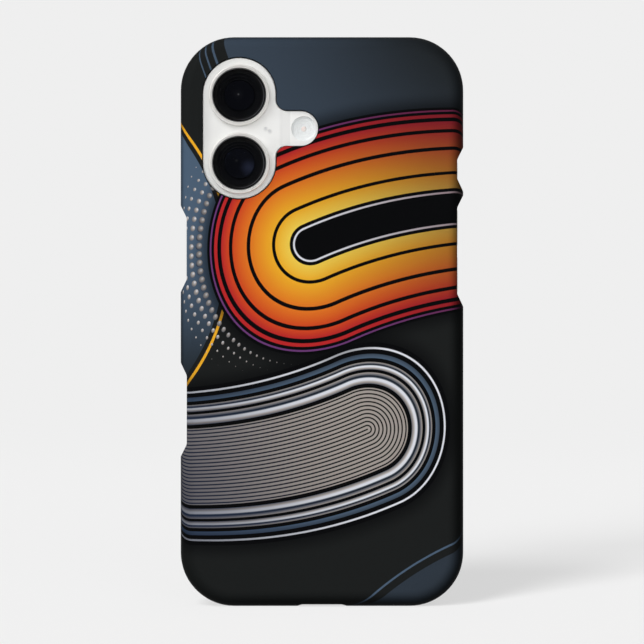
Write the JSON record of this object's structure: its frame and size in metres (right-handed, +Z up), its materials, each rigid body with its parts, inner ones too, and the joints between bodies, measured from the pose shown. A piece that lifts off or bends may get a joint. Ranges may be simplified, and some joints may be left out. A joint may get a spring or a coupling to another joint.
{
  "type": "smartphone in hard case",
  "caption": "Slab smartphone standing upright in a thin hard case with a printed back, camera opening, button notches and a charging notch.",
  "frame": {"origin": "middle of the bounding box's bottom face, on the surface the phone stands on", "axes": "+Z up along the phone, +X to the right as seen from behind, back panel and lenses towards -Y, screen towards +Y"},
  "size_m": [0.075, 0.0116, 0.1511],
  "materials": {
    "case_print": "printed hard shell, satin",
    "band_metal": "anodised, fine satin",
    "strip_plastic": "moulded, satin",
    "back_glass": "opaque pale glass, satin",
    "ring_metal": "turned and polished",
    "lens_glass": "polished, coated",
    "barrel_plastic": "matt black, stepped",
    "element_glass": "polished, coated",
    "flash_window": "ribbed inside",
    "flash_white": "moulded",
    "led_phosphor": "phosphor",
    "led_phosphor_cool": "phosphor",
    "dark_mesh": "woven",
    "front_glass": "polished",
    "black_ink": "printed layer",
    "screen_face": "display switched off",
    "seal_rubber": "matt",
    "socket_steel": "drawn",
    "tongue_plastic": "moulded, gold contacts",
    "screw_steel": "plated",
    "plate_metal": "stamped",
    "battery_wrap": "film wrap"
  },
  "bodies": {
    "root": {"action_button": "band_metal", "antenna_strip_left_lower": "strip_plastic", "antenna_strip_left_upper": "strip_plastic", "antenna_strip_right_lower": "strip_plastic", "antenna_strip_right_upper": "strip_plastic", "back_glass": "back_glass", "back_seal": "seal_rubber", "battery": "battery_wrap", "bottom_screw_left": "screw_steel", "bottom_screw_right": "screw_steel", "camera_control": "band_metal", "case_shell": "case_print", "earpiece_mesh": "dark_mesh", "flash_cup": "flash_white", "flash_led_cool": "led_phosphor_cool", "flash_led_warm": "led_phosphor", "flash_lens": "flash_window", "front_glass": "front_glass", "front_lens": "element_glass", "front_seal": "seal_rubber", "ink_border": "black_ink", "lens_barrel_lower": "barrel_plastic", "lens_barrel_upper": "barrel_plastic", "lens_cover_lower": "lens_glass", "lens_cover_upper": "lens_glass", "lens_element_lower": "element_glass", "lens_element_upper": "element_glass", "lens_ring_lower": "ring_metal", "lens_ring_upper": "ring_metal", "mid_plate": "plate_metal", "phone_frame": "band_metal", "rear_mic_mesh_first": "dark_mesh", "rear_mic_mesh_second": "dark_mesh", "screen": "screen_face", "sensor_pill": "black_ink", "side_button": "band_metal", "sound_mesh_left": "dark_mesh", "sound_mesh_right": "dark_mesh", "usb_shell": "socket_steel", "usb_tongue": "tongue_plastic", "volume_down_button": "band_metal", "volume_up_button": "band_metal"}
  },
  "joints": []
}
